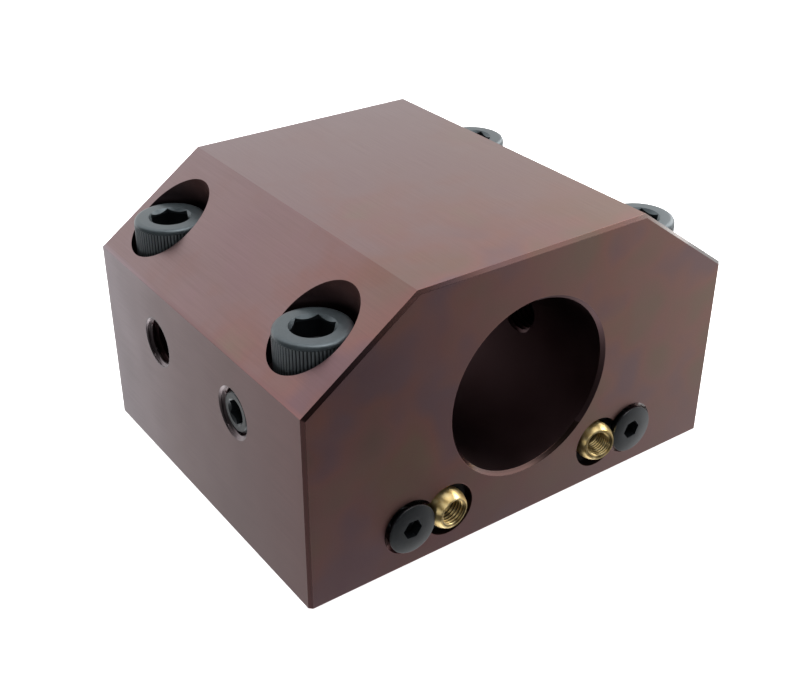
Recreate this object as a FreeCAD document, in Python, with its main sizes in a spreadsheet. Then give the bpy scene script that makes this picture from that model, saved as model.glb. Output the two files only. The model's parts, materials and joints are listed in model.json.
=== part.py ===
import FreeCAD, Part
import Sketcher
import os

# Axial tool holder block: a steel block that holds a boring bar parallel to the spindle.
# The base lies on Z = 0 with the origin at its centre. X runs across the front face, Y from
# the front to the rear along the tool bore, and Z up. All sizes are in millimetres.

FORWARD = FreeCAD.Vector(0, -1, 0)
UPWARD = FreeCAD.Vector(0, 0, 1)
LEFTWARD = FreeCAD.Vector(-1, 0, 0)
RIGHTWARD = FreeCAD.Vector(1, 0, 0)
HANDS = ("left", "right")
SIGN = {"left": "-", "right": ""}
OUTWARD = {"left": LEFTWARD, "right": RIGHTWARD}
AXIS_LINE_LENGTH = 10.0
NEARLY_ZERO = 1e-6

doc = FreeCAD.newDocument("AxialToolHolderBlock")

# Driving dimensions
SIZES = {
    # Block
    "block_width": 110.0,
    "block_depth": 87.5,
    "block_height": 63.5,
    "shoulder_run": 25.8,
    "shoulder_drop": 18.4,
    "outline_chamfer": 0.7,
    "base_chamfer": 0.3,
    # Tool bore
    "bore_diameter": 40.0,
    "bore_floor": 12.0,
    "bore_chamfer": 0.8,
    # Mount screws, M10 socket head
    "mount_side_inset": 12.0,
    "mount_front_inset": 15.0,
    "mount_rear_inset": 12.5,
    "mount_seat_height": 44.0,
    "mount_thread": 10.0,
    "mount_length": 40.0,
    "mount_head": 16.0,
    "mount_head_height": 10.0,
    "mount_head_round": 0.9,
    "mount_key": 8.0,
    "mount_key_depth": 5.0,
    "mount_tip_chamfer": 1.2,
    "mount_hole_gap": 0.5,
    "mount_head_gap": 1.1,
    # Bar clamp screws, M10 set screws
    "clamp_front_inset": 27.25,
    "clamp_rear_inset": 26.25,
    "clamp_thread": 10.0,
    "clamp_length": 25.0,
    "clamp_key": 5.0,
    "clamp_key_depth": 4.5,
    "clamp_end_chamfer": 0.9,
    "clamp_cup": 5.6,
    "clamp_mouth_chamfer": 0.6,
    "clamp_front_left_sunk": 0.6,
    "clamp_rear_left_sunk": 8.0,
    "clamp_front_right_sunk": 5.0,
    "clamp_rear_right_sunk": 5.0,
    # Swivelling coolant nozzles
    "nozzle_offset": 20.9,
    "nozzle_height": 9.85,
    "ball_diameter": 9.0,
    "ball_set_back": 1.1,
    "ball_nose": 2.7,
    "ball_thread": 5.0,
    "ball_mouth": 7.0,
    "ball_socket_gap": 1.65,
    "seat_bore": 6.0,
    "seat_length": 3.4,
    "seat_front_diameter": 9.0,
    "seat_half_angle": 30.0,
    "seat_gap": 0.05,
    # Flat head screws that hold the balls, M6
    "lock_thread": 6.0,
    "lock_head": 11.3,
    "lock_head_rim": 0.5,
    "lock_length": 16.0,
    "lock_key": 4.0,
    "lock_key_depth": 2.4,
    "lock_tip_chamfer": 0.5,
    "lock_overlap": 0.25,
    "lock_gap": 0.1,
    "lock_sink_gap": 0.7,
    "lock_hole_spare": 3.0,
    # Coolant gallery
    "gallery_diameter": 5.0,
    "gallery_height": 7.0,
    "gallery_front_inset": 27.0,
    "inlet_diameter": 6.0,
    "inlet_seal_wall": 1.5,
    "inlet_seal_width": 1.5,
    "inlet_groove_spare": 0.05,
    "plug_thread": 6.0,
    "plug_length": 6.0,
    "plug_sunk": 0.5,
    "plug_key": 3.0,
    "plug_key_depth": 2.5,
    "plug_end_chamfer": 0.5,
    # Locating dowel holes in the base
    "dowel_diameter": 8.0,
    "dowel_depth": 8.0,
    "dowel_end_inset": 12.0,
    # Radial clearance between a screw and its thread
    "thread_gap": 0.05,
}

sheet = doc.addObject("Spreadsheet::Sheet", "Sizes")
for row, (alias, size) in enumerate(SIZES.items(), start=1):
    sheet.set(f"A{row}", alias)
    sheet.set(f"B{row}", str(size))
    sheet.setAlias(f"B{row}", alias)
doc.recompute()


def sized(expression):
    """Turns plain alias names in an expression into references to the sheet."""
    words = []
    word = ""
    for letter in expression + " ":
        if letter.isalnum() or letter == "_":
            word += letter
            continue
        words.append("Sizes." + word if word in SIZES else word)
        words.append(letter)
        word = ""
    return "".join(words).strip()


def value(expression):
    """Number that an expression of alias names stands for."""
    return float(sheet.evalExpression(sized(expression)))


# Places worked out from the driving dimensions
FRONT = "-block_depth / 2"
BORE_HEIGHT = "(bore_floor + bore_diameter / 2)"
MOUNT_X = "(block_width / 2 - mount_side_inset)"
MOUNT_FRONT_Y = "(mount_front_inset - block_depth / 2)"
MOUNT_REAR_Y = "(block_depth / 2 - mount_rear_inset)"
CLAMP_FRONT_Y = "(clamp_front_inset - block_depth / 2)"
CLAMP_REAR_Y = "(block_depth / 2 - clamp_rear_inset)"
GALLERY_Y = "(gallery_front_inset - block_depth / 2)"
SOCKET_RADIUS = "(ball_diameter / 2 + ball_socket_gap)"
# The seat's cone would come to a point this far behind the ball's centre
SEAT_TIP = "((ball_diameter / 2 + seat_gap) / sin(seat_half_angle))"
SEAT_DEPTH = f"(ball_set_back + {SEAT_TIP} - seat_front_diameter / 2 / tan(seat_half_angle))"
SOCKET_DEPTH = f"({SEAT_DEPTH} + seat_length)"
LOCK_SPACING = "(ball_diameter / 2 + lock_head / 2 - lock_overlap)"
LOCK_X = f"(nozzle_offset + {LOCK_SPACING})"
# The head's rim meets the ball where the ball is this far in front of its own centre
RIM_REACH = "sqrt(ball_diameter * lock_overlap - lock_overlap^2)"
LOCK_PROUD = f"({RIM_REACH} + lock_gap - ball_set_back + lock_head_rim)"
LOCK_CONE = "((lock_head - lock_thread) / 2)"
LOCK_SINK_RADIUS = "(lock_head / 2 + lock_sink_gap)"
INLET_SEAL_INNER = "(inlet_diameter / 2 + inlet_seal_wall)"


def bind(thing, **settings):
    """Binds properties to expressions; two underscores in a name stand for a dot."""
    for name, expression in settings.items():
        thing.setExpression(name.replace("__", "."), sized(expression))


def origin_plane(body, role):
    return next(part for part in body.Origin.OriginFeatures if part.Role == role)


def new_body(label):
    body = doc.addObject("PartDesign::Body", label)
    body.Label = label
    return body


def new_sketch(body, name, role, lift="0"):
    """Sketch on an origin plane of its own body, lifted along the plane's normal."""
    sketch = body.newObject("Sketcher::SketchObject", name)
    sketch.AttachmentSupport = [(origin_plane(body, role), "")]
    sketch.MapMode = "FlatFace"
    bind(sketch, AttachmentOffset__Base__z=lift)
    return sketch


def pin_point(sketch, geometry, point, across, along):
    """Holds a sketch point at two expressions measured from the sketch's origin."""
    for kind, axis, expression in (("DistanceX", -2, across), ("DistanceY", -1, along)):
        size = value(expression)
        if abs(size) < NEARLY_ZERO:
            sketch.addConstraint(Sketcher.Constraint("PointOnObject", geometry, point, axis))
            continue
        index = sketch.addConstraint(Sketcher.Constraint(kind, -1, 1, geometry, point, size))
        sketch.setExpression(f"Constraints[{index}]", sized(expression))


def draw_outline(sketch, corners):
    """Closed outline of straight lines through corners given as pairs of expressions."""
    points = [FreeCAD.Vector(value(across), value(along), 0) for across, along in corners]
    lines = [sketch.addGeometry(Part.LineSegment(start, end))
             for start, end in zip(points, points[1:] + points[:1])]
    for line, following in zip(lines, lines[1:] + lines[:1]):
        sketch.addConstraint(Sketcher.Constraint("Coincident", line, 2, following, 1))
    for line, (across, along) in zip(lines, corners):
        pin_point(sketch, line, 1, across, along)


def draw_circle(sketch, across, along, radius):
    centre = FreeCAD.Vector(value(across), value(along), 0)
    circle = sketch.addGeometry(Part.Circle(centre, FreeCAD.Vector(0, 0, 1), value(radius)))
    pin_point(sketch, circle, 3, across, along)
    index = sketch.addConstraint(Sketcher.Constraint("Radius", circle, value(radius)))
    sketch.setExpression(f"Constraints[{index}]", sized(radius))


def pad(body, name, sketch, length):
    feature = body.newObject("PartDesign::Pad", name)
    feature.Profile = sketch
    feature.SideType = "Symmetric"
    bind(feature, Length=length)
    return feature


def pocket(body, name, sketch, length=None, reverse=False, both=False):
    """Cut of a given length, or right through, along or against the sketch's normal."""
    feature = body.newObject("PartDesign::Pocket", name)
    feature.Profile = sketch
    feature.Type = "Length" if length else "ThroughAll"
    feature.Reversed = reverse
    if both:
        feature.SideType = "Symmetric"
    if length:
        bind(feature, Length=length)
    return feature


def turned_cut(body, name, sketch):
    """Cut by turning a profile a full turn about the sketch's first construction line."""
    feature = body.newObject("PartDesign::Groove", name)
    feature.Profile = sketch
    feature.ReferenceAxis = (sketch, ["Axis0"])
    feature.Angle = 360.0
    return feature


def draw_axis(sketch, across, along):
    """Upright construction line that a profile turns about."""
    start = FreeCAD.Vector(value(across), value(along), 0)
    end = start + FreeCAD.Vector(0, AXIS_LINE_LENGTH, 0)
    line = sketch.addGeometry(Part.LineSegment(start, end), True)
    pin_point(sketch, line, 1, across, along)
    sketch.addConstraint(Sketcher.Constraint("Vertical", line))


def chamfer(body, name, base, size, chosen):
    """Chamfer on the edges of base that the test chosen picks out."""
    doc.recompute()
    edges = [f"Edge{number}" for number, edge in enumerate(base.Shape.Edges, start=1) if chosen(edge)]
    feature = body.newObject("PartDesign::Chamfer", name)
    feature.Base = (base, edges)
    bind(feature, Size=size)
    return feature


def edge_points(edge):
    """First, middle and last point of an edge."""
    first, last = edge.FirstParameter, edge.LastParameter
    return [edge.valueAt(place_on_edge) for place_on_edge in (first, (first + last) / 2, last)]


def near(first, second):
    return abs(first - second) < NEARLY_ZERO


def on_plane(edge, axis, place):
    """Whether an edge lies in the plane where one coordinate has the given place."""
    return all(near(point[axis], place) for point in edge_points(edge))


def make_block():
    """Block with its bore, counterbores, side threads, nozzle sockets and coolant drillings."""
    body = new_body("holder_block")

    outline = new_sketch(body, "BlockOutline", "XZ_Plane")
    eaves = "block_height - shoulder_drop"
    crest = "block_width / 2 - shoulder_run"
    draw_outline(outline, [
        ("-block_width / 2", "0"), ("block_width / 2", "0"), ("block_width / 2", eaves),
        (crest, "block_height"), (f"-({crest})", "block_height"), ("-block_width / 2", eaves),
    ])
    blank = pad(body, "BlockBlank", outline, "block_depth")

    half_depth = value("block_depth / 2")

    def end_outline(edge):
        above_base = any(point.z > NEARLY_ZERO for point in edge_points(edge))
        return above_base and (on_plane(edge, 1, -half_depth) or on_plane(edge, 1, half_depth))

    broken = chamfer(body, "OutlineChamfer", blank, "outline_chamfer", end_outline)
    chamfer(body, "BaseChamfer", broken, "base_chamfer", lambda edge: on_plane(edge, 2, 0))

    bore = new_sketch(body, "BoreCircle", "XZ_Plane")
    draw_circle(bore, "0", BORE_HEIGHT, "bore_diameter / 2")
    bored = pocket(body, "ToolBore", bore, both=True)

    def bore_mouth(edge):
        if not isinstance(edge.Curve, Part.Circle):
            return False
        is_bore = near(edge.Curve.Radius, value("bore_diameter / 2"))
        return is_bore and near(abs(edge.Curve.Center.y), half_depth)

    chamfer(body, "BoreMouths", bored, "bore_chamfer", bore_mouth)

    seats = new_sketch(body, "CounterboreCircles", "XY_Plane", "mount_seat_height")
    holes = new_sketch(body, "MountHoleCircles", "XY_Plane")
    for hand in HANDS:
        for row in (MOUNT_FRONT_Y, MOUNT_REAR_Y):
            draw_circle(seats, SIGN[hand] + MOUNT_X, row, "mount_head / 2 + mount_head_gap")
            draw_circle(holes, SIGN[hand] + MOUNT_X, row, "mount_thread / 2 + mount_hole_gap")
    pocket(body, "Counterbores", seats, "block_height", reverse=True)
    pocket(body, "MountHoles", holes, "block_height", reverse=True)

    threads = new_sketch(body, "ClampThreadCircles", "YZ_Plane")
    for row in (CLAMP_FRONT_Y, CLAMP_REAR_Y):
        draw_circle(threads, row, BORE_HEIGHT, "clamp_thread / 2 + thread_gap")
    tapped = pocket(body, "ClampThreads", threads, both=True)

    def clamp_mouth(edge):
        is_circle = isinstance(edge.Curve, Part.Circle)
        return is_circle and near(abs(edge.Curve.Center.x), value("block_width / 2"))

    chamfer(body, "ClampMouths", tapped, "clamp_mouth_chamfer", clamp_mouth)

    make_nozzle_cuts(body)
    make_gallery_cuts(body)
    return body


def make_nozzle_cuts(body):
    """Socket, gallery and countersunk screw hole of the left nozzle, then the same mirrored."""
    socket = new_sketch(body, "SocketProfile", "XY_Plane", "nozzle_height")
    axis = "-nozzle_offset"
    draw_axis(socket, axis, FRONT)
    floor = f"{FRONT} + {SOCKET_DEPTH}"
    end = f"{GALLERY_Y} + gallery_diameter / 2"
    draw_outline(socket, [
        (axis, FRONT), (f"{axis} + {SOCKET_RADIUS}", FRONT), (f"{axis} + {SOCKET_RADIUS}", floor),
        (f"{axis} + gallery_diameter / 2", floor), (f"{axis} + gallery_diameter / 2", end),
        (axis, f"{end} + gallery_diameter / 4"),
    ])
    sunk = turned_cut(body, "NozzleSocket", socket)

    screw = new_sketch(body, "LockScrewProfile", "XY_Plane", "nozzle_height")
    axis = f"-{LOCK_X}"
    draw_axis(screw, axis, FRONT)
    wall = f"{axis} + lock_thread / 2 + thread_gap"
    depth = f"{FRONT} + lock_length + lock_hole_spare - {LOCK_PROUD}"
    draw_outline(screw, [
        (axis, FRONT), (f"{axis} + {LOCK_SINK_RADIUS}", FRONT),
        (wall, f"{FRONT} + {LOCK_SINK_RADIUS} - lock_thread / 2 - thread_gap"), (wall, depth),
        (axis, f"{depth} + lock_thread / 4"),
    ])
    drilled = turned_cut(body, "LockScrewHole", screw)

    mirrored = body.newObject("PartDesign::Mirrored", "RightNozzle")
    mirrored.Originals = [sunk, drilled]
    mirrored.MirrorPlane = (origin_plane(body, "YZ_Plane"), [""])
    body.Tip = mirrored


def make_gallery_cuts(body):
    """Cross drilling with its tapped mouth, the inlet with its seal groove, and the dowel holes."""
    cross = new_sketch(body, "CrossGalleryCircle", "YZ_Plane", "block_width / 2")
    draw_circle(cross, GALLERY_Y, "gallery_height", "gallery_diameter / 2")
    pocket(body, "CrossGallery", cross, "block_width / 2 + nozzle_offset + gallery_diameter / 2")

    mouth = new_sketch(body, "PlugThreadCircle", "YZ_Plane", "block_width / 2")
    draw_circle(mouth, GALLERY_Y, "gallery_height", "plug_thread / 2 + thread_gap")
    pocket(body, "PlugThread", mouth, "plug_sunk + plug_length + plug_thread / 2")

    inlet = new_sketch(body, "InletCircle", "XY_Plane")
    draw_circle(inlet, "0", GALLERY_Y, "inlet_diameter / 2")
    pocket(body, "CoolantInlet", inlet, "gallery_height", reverse=True)

    groove = new_sketch(body, "InletSealGroove", "XY_Plane")
    draw_circle(groove, "0", GALLERY_Y, INLET_SEAL_INNER)
    draw_circle(groove, "0", GALLERY_Y, f"{INLET_SEAL_INNER} + inlet_seal_width")
    pocket(body, "SealGroove", groove, "inlet_seal_width + inlet_groove_spare", reverse=True)

    dowels = new_sketch(body, "DowelCircles", "XY_Plane")
    for side in ("-", ""):
        draw_circle(dowels, "0", f"{side}(block_depth / 2 - dowel_end_inset)", "dowel_diameter / 2")
    pocket(body, "DowelHoles", dowels, "dowel_depth", reverse=True)


def turned_body(label, corners):
    """Body turned about its own Z axis from a profile of radius and height expressions."""
    body = new_body(label)
    profile = new_sketch(body, label + "_profile", "XZ_Plane")
    draw_outline(profile, corners)
    turned = body.newObject("PartDesign::Revolution", label + "_turned")
    turned.Profile = profile
    turned.ReferenceAxis = (profile, ["V_Axis"])
    turned.Angle = 360.0
    return body


def cut_key_socket(body, label, key, depth, top):
    """Hexagon socket cut down from the top of a turned body."""
    corner = f"({key} / sqrt(3))"
    prism = body.newObject("PartDesign::SubtractivePrism", label + "_hexagon")
    prism.AttachmentSupport = [(origin_plane(body, "XY_Plane"), "")]
    prism.MapMode = "FlatFace"
    prism.Polygon = 6
    bind(prism, Circumradius=corner, Height=depth, AttachmentOffset__Base__z=f"{top} - {depth}")


def cut_key_lead(body, label, key, top):
    """Conical lead that breaks the corners of a hexagon socket's mouth."""
    corner = f"({key} / sqrt(3))"
    lead = body.newObject("PartDesign::SubtractiveCone", label + "_lead")
    lead.AttachmentSupport = [(origin_plane(body, "XY_Plane"), "")]
    lead.MapMode = "FlatFace"
    rise = f"({corner} - {key} / 2)"
    bind(lead, Radius1=f"{key} / 2", Radius2=corner, Height=rise,
         AttachmentOffset__Base__z=f"{top} - {rise}")


def place(piece, spot, direction, turn=0.0):
    """Sets a piece's origin at three expressions, its Z axis along direction, turned about it."""
    aim = FreeCAD.Rotation(UPWARD, direction) * FreeCAD.Rotation(UPWARD, turn)
    piece.Placement = FreeCAD.Placement(FreeCAD.Vector(), aim)
    across, along, up = spot
    bind(piece, Placement__Base__x=across, Placement__Base__y=along, Placement__Base__z=up)


def make_mount_screw(label, across, along, key_turn):
    """Socket head cap screw. Its origin is the underside of the head."""
    body = turned_body(label, [
        ("0", "-mount_length"), ("mount_thread / 2 - mount_tip_chamfer", "-mount_length"),
        ("mount_thread / 2", "-mount_length + mount_tip_chamfer"), ("mount_thread / 2", "0"),
        ("mount_head / 2", "0"), ("mount_head / 2", "mount_head_height - mount_head_round"),
        ("mount_head / 2 - mount_head_round", "mount_head_height"), ("0", "mount_head_height"),
    ])
    cut_key_socket(body, label, "mount_key", "mount_key_depth", "mount_head_height")
    cut_key_lead(body, label, "mount_key", "mount_head_height")
    place(body, (across, along, "mount_seat_height"), UPWARD, key_turn)
    return body


def make_clamp_screw(label, hand, along, sunk, key_turn):
    """Cup point set screw. Its origin is the outer end, below the block's side face."""
    body = turned_body(label, [
        ("0", "-clamp_length + clamp_end_chamfer"), ("clamp_cup / 2", "-clamp_length"),
        ("clamp_thread / 2", "-clamp_length + clamp_thread / 2 - clamp_cup / 2"),
        ("clamp_thread / 2", "-clamp_end_chamfer"),
        ("clamp_thread / 2 - clamp_end_chamfer", "0"), ("0", "0"),
    ])
    cut_key_socket(body, label, "clamp_key", "clamp_key_depth", "0")
    outer_end = f"{SIGN[hand]}(block_width / 2 - {sunk})"
    place(body, (outer_end, along, BORE_HEIGHT), OUTWARD[hand], key_turn)
    return body


def make_nozzle_ball(label, hand, yaw, pitch):
    """Brass ball with a flat nose and a threaded hole through it. Its nose points along -Y."""
    radius = "(ball_diameter / 2)"
    sphere = doc.addObject("Part::Sphere", label + "_sphere")
    bind(sphere, Radius=radius)
    nose_cut = doc.addObject("Part::Cylinder", label + "_nose_cut")
    bind(nose_cut, Radius="ball_diameter", Height="ball_diameter", Placement__Base__z="ball_nose")
    hole = doc.addObject("Part::Cylinder", label + "_hole")
    bind(hole, Radius="ball_thread / 2", Height="2 * ball_diameter", Placement__Base__z="-ball_diameter")
    mouth = doc.addObject("Part::Cone", label + "_mouth")
    flare = "(ball_mouth / 2 - ball_thread / 2)"
    bind(mouth, Radius1="ball_thread / 2", Radius2="ball_mouth / 2", Height=flare,
         Placement__Base__z=f"ball_nose - {flare}")
    tools = doc.addObject("Part::MultiFuse", label + "_tools")
    tools.Shapes = [nose_cut, hole, mouth]
    ball = doc.addObject("Part::Cut", label)
    ball.Label = label
    ball.Base = sphere
    ball.Tool = tools
    # Yaw swings the nose to the right, and pitch lifts it
    aim = FreeCAD.Rotation(UPWARD, yaw) * FreeCAD.Rotation(RIGHTWARD, -pitch)
    nose = aim.multVec(FORWARD)
    place(ball, (f"{SIGN[hand]}nozzle_offset", f"{FRONT} + ball_set_back", "nozzle_height"), nose)
    return ball


def make_nozzle_seat(label, hand):
    """Soft ring with a conical seat that the ball turns on. Its origin is its front face."""
    cone_depth = "((seat_front_diameter - seat_bore) / 2 / tan(seat_half_angle))"
    body = turned_body(label, [
        ("seat_bore / 2", f"-{cone_depth}"), ("seat_front_diameter / 2", "0"), (SOCKET_RADIUS, "0"),
        (SOCKET_RADIUS, "-seat_length"), ("seat_bore / 2", "-seat_length"),
    ])
    place(body, (f"{SIGN[hand]}nozzle_offset", f"{FRONT} + {SEAT_DEPTH}", "nozzle_height"), FORWARD)
    return body


def make_inlet_seal(label):
    """Square section seal ring round the coolant inlet. Its origin is its lower face."""
    outer = f"({INLET_SEAL_INNER} + inlet_seal_width)"
    body = turned_body(label, [
        (INLET_SEAL_INNER, "0"), (outer, "0"), (outer, "inlet_seal_width"),
        (INLET_SEAL_INNER, "inlet_seal_width"),
    ])
    place(body, ("0", GALLERY_Y, "inlet_groove_spare"), UPWARD)
    return body


def make_lock_screw(label, hand, key_turn):
    """Flat head screw whose rim holds the ball. Its origin is the top of the head."""
    body = turned_body(label, [
        ("0", "-lock_length"), ("lock_thread / 2 - lock_tip_chamfer", "-lock_length"),
        ("lock_thread / 2", "-lock_length + lock_tip_chamfer"),
        ("lock_thread / 2", f"-lock_head_rim - {LOCK_CONE}"),
        ("lock_head / 2", "-lock_head_rim"), ("lock_head / 2", "0"), ("0", "0"),
    ])
    cut_key_socket(body, label, "lock_key", "lock_key_depth", "0")
    place(body, (f"{SIGN[hand]}{LOCK_X}", f"{FRONT} - {LOCK_PROUD}", "nozzle_height"), FORWARD, key_turn)
    return body


def make_gallery_plug(label):
    """Set screw that closes the cross drilling. Its origin is the outer end."""
    body = turned_body(label, [
        ("0", "-plug_length"), ("plug_thread / 2 - plug_end_chamfer", "-plug_length"),
        ("plug_thread / 2", "-plug_length + plug_end_chamfer"), ("plug_thread / 2", "-plug_end_chamfer"),
        ("plug_thread / 2 - plug_end_chamfer", "0"), ("0", "0"),
    ])
    cut_key_socket(body, label, "plug_key", "plug_key_depth", "0")
    place(body, ("block_width / 2 - plug_sunk", GALLERY_Y, "gallery_height"), RIGHTWARD)
    return body


# How far each hexagon socket is turned about its screw, in degrees
MOUNT_KEY_TURNS = {"front_left": 45, "rear_left": 11, "front_right": 37, "rear_right": 22}
CLAMP_KEY_TURNS = {"front_left": 1, "rear_left": 20, "front_right": 14, "rear_right": 3}
LOCK_KEY_TURNS = {"left": 55, "right": 7}
# Where each nozzle points, in degrees: yaw to the right, pitch upward
NOZZLE_AIM = {"left": (4.5, -2.0), "right": (-13.5, 6.5)}

made = [make_block(), make_gallery_plug("gallery_plug")]
for row, mount_y, clamp_y in (("front", MOUNT_FRONT_Y, CLAMP_FRONT_Y), ("rear", MOUNT_REAR_Y, CLAMP_REAR_Y)):
    for hand in HANDS:
        corner = f"{row}_{hand}"
        made.append(make_mount_screw(f"mount_screw_{corner}", SIGN[hand] + MOUNT_X, mount_y,
                                     MOUNT_KEY_TURNS[corner]))
        made.append(make_clamp_screw(f"bar_clamp_screw_{corner}", hand, clamp_y,
                                     f"clamp_{corner}_sunk", CLAMP_KEY_TURNS[corner]))
for hand in HANDS:
    made.append(make_nozzle_seat(f"nozzle_seat_{hand}", hand))
    made.append(make_nozzle_ball(f"nozzle_ball_{hand}", hand, *NOZZLE_AIM[hand]))
    made.append(make_lock_screw(f"nozzle_screw_{hand}", hand, LOCK_KEY_TURNS[hand]))
made.append(make_inlet_seal("inlet_seal"))

doc.recompute()

for thing in doc.Objects:
    if "Invalid" in thing.State or "Error" in thing.State:
        raise RuntimeError(f"{thing.Label} failed: {thing.State}")
for thing in made:
    if thing.Shape.isNull() or not thing.Shape.isValid() or len(thing.Shape.Solids) != 1:
        raise RuntimeError(f"{thing.Label} is not one valid solid")

os.makedirs("parts", exist_ok=True)
for thing in made:
    thing.Shape.exportStep(f"parts/{thing.Label}.step")
    box = thing.Shape.BoundBox
    print(f"{thing.Label}: {thing.Shape.Volume:.1f} mm3, X {box.XMin:.2f}..{box.XMax:.2f},"
          f" Y {box.YMin:.2f}..{box.YMax:.2f}, Z {box.ZMin:.2f}..{box.ZMax:.2f}")
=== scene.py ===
# %% [markdown]
# # Dressing an axial tool holder block
#
# The object is a machined steel block that bolts to a lathe turret and holds a boring bar
# parallel to the spindle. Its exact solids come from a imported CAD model. This lesson loads
# them as a fixed frame and gives every piece the surface that the real one has: brown oxide on
# the block, black oxide on the screws and bright turned brass on the coolant balls.
#
# Everything is in metres. The base lies on Z = 0, X runs across the front face, Y from the
# front to the rear and Z up.

# %% Load the frame
import functools
import json
import math

import bmesh
import bpy
from mathutils import Matrix, Vector


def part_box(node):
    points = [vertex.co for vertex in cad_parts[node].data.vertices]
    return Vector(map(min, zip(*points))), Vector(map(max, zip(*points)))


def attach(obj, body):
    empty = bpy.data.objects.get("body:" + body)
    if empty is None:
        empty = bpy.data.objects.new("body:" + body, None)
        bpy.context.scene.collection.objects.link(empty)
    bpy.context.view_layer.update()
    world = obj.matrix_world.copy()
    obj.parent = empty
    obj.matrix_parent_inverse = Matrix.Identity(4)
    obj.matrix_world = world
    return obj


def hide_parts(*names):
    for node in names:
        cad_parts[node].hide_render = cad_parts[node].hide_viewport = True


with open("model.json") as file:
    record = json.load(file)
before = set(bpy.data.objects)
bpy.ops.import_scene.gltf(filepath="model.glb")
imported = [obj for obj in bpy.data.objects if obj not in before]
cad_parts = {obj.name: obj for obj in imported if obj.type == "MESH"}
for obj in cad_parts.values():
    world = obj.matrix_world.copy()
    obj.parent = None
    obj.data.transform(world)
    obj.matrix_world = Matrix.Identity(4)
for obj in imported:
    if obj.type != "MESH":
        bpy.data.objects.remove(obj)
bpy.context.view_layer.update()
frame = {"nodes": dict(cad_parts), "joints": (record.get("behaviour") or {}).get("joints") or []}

nodes = frame["nodes"]
MM = 0.001
SHARP_DEGREES = 32

# %% [markdown]
# ## Helpers for meshes
#
# Almost every loose piece here was turned on a lathe or cold headed, so its shape is a profile
# swept round an axis. One helper sweeps a profile of (radius, height) points. A ripple function
# may move each point in or out, which gives the knurl and the threads real geometry: a bump map
# would leave their outlines smooth.

# %% Sweep a profile round the Z axis
def turned(name, profile, segments, ripple=None, ring_shaped=False):
    """Object made from (radius, height) points in millimetres, from the bottom up the outside."""
    mesh = bmesh.new()
    rows = []
    for radius, height in profile:
        if radius == 0:
            rows.append([mesh.verts.new((0, 0, height * MM))])
            continue
        row = []
        for step in range(segments):
            angle = 2 * math.pi * step / segments
            reach = radius + (ripple(angle, radius, height) if ripple else 0)
            point = (reach * math.cos(angle) * MM, reach * math.sin(angle) * MM, height * MM)
            row.append(mesh.verts.new(point))
        rows.append(row)
    pairs = list(zip(rows, rows[1:]))
    if ring_shaped:
        pairs.append((rows[-1], rows[0]))
    for lower, upper in pairs:
        for step in range(segments):
            following = (step + 1) % segments
            if len(lower) == 1:
                mesh.faces.new((lower[0], upper[following], upper[step]))
            elif len(upper) == 1:
                mesh.faces.new((lower[step], lower[following], upper[0]))
            else:
                mesh.faces.new((lower[step], lower[following], upper[following], upper[step]))
    return finished(name, mesh)


def finished(name, mesh, sharp_degrees=SHARP_DEGREES):
    """Turns a bmesh into an object, smooth except across edges sharper than the given angle."""
    bmesh.ops.recalc_face_normals(mesh, faces=mesh.faces)
    data = bpy.data.meshes.new(name)
    mesh.to_mesh(data)
    mesh.free()
    stored_normals = data.attributes.get("custom_normal")
    if stored_normals:
        data.attributes.remove(stored_normals)
    data.shade_smooth()
    data.set_sharp_from_angle(angle=math.radians(sharp_degrees))
    piece = bpy.data.objects.new(name, data)
    bpy.context.scene.collection.objects.link(piece)
    return piece


# %% [markdown]
# A machinist breaks every edge, and a small round edge is what catches a highlight. The next
# helper replaces each corner of a profile with a short curve of three points. The corner's two
# neighbours limit how far the curve reaches.

# %% Ease the corners of a profile
SHARE_OF_SIDE = 0.45


def eased(profile, reach=0.12):
    """Profile with each inner corner replaced by a short curve that starts reach away from it."""
    points = [profile[0]]
    for before, corner, after in zip(profile, profile[1:], profile[2:]):
        corner, before, after = Vector(corner), Vector(before), Vector(after)
        shorter = min((before - corner).length, (after - corner).length)
        run = min(reach, shorter * SHARE_OF_SIDE)
        start = corner + (before - corner).normalized() * run
        end = corner + (after - corner).normalized() * run
        middle = (start + end + 2 * corner) / 4
        points += [tuple(start), tuple(middle), tuple(end)]
    return points + [profile[-1]]


# %% [markdown]
# A screw thread is a V groove on a helix. Seen along the axis at one angle it is a wave that
# repeats every pitch, and going once round moves it by one pitch. Its crest is flat for an
# eighth of a pitch and its root for a quarter. The height rows must be close together to follow
# the flanks. On a screw the thread gets shallower over its last turn.

# %% Thread wave and the heights that show it
CREST_END, ROOT_START = 1 / 16, 3 / 8


def thread_depth(angle, height, pitch):
    """Share of the full depth at a point: 0 on the crest and 1 in the root."""
    turn = (height / pitch - angle / (2 * math.pi)) % 1.0
    from_crest = min(turn, 1 - turn)
    return min(1.0, max(0.0, (from_crest - CREST_END) / (ROOT_START - CREST_END)))


def heights_between(low, high, step):
    """Evenly spaced heights from low to high, about step apart."""
    count = max(1, round((high - low) / step))
    return [low + (high - low) * number / count for number in range(count + 1)]


END_GAP = 0.01


def screw_thread(radius, root_depth, pitch, high, low=-math.inf, runs_out=True):
    """Ripple that cuts a thread into a rod between two heights."""
    def ripple(angle, at_radius, height):
        if height < low + END_GAP or height > high - END_GAP:
            return 0.0
        run_out = min(1.0, (high - height) / pitch) if runs_out else 1.0
        wanted = radius - root_depth * run_out * thread_depth(angle, height, pitch)
        return min(0.0, wanted - at_radius)
    return ripple


# %% [markdown]
# Hexagon sockets are cut as on a real screw: a prism is taken out of the finished head. The
# Boolean modifier does that, and its result is stored as a plain mesh, so nothing depends on a
# hidden cutter later.

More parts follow.
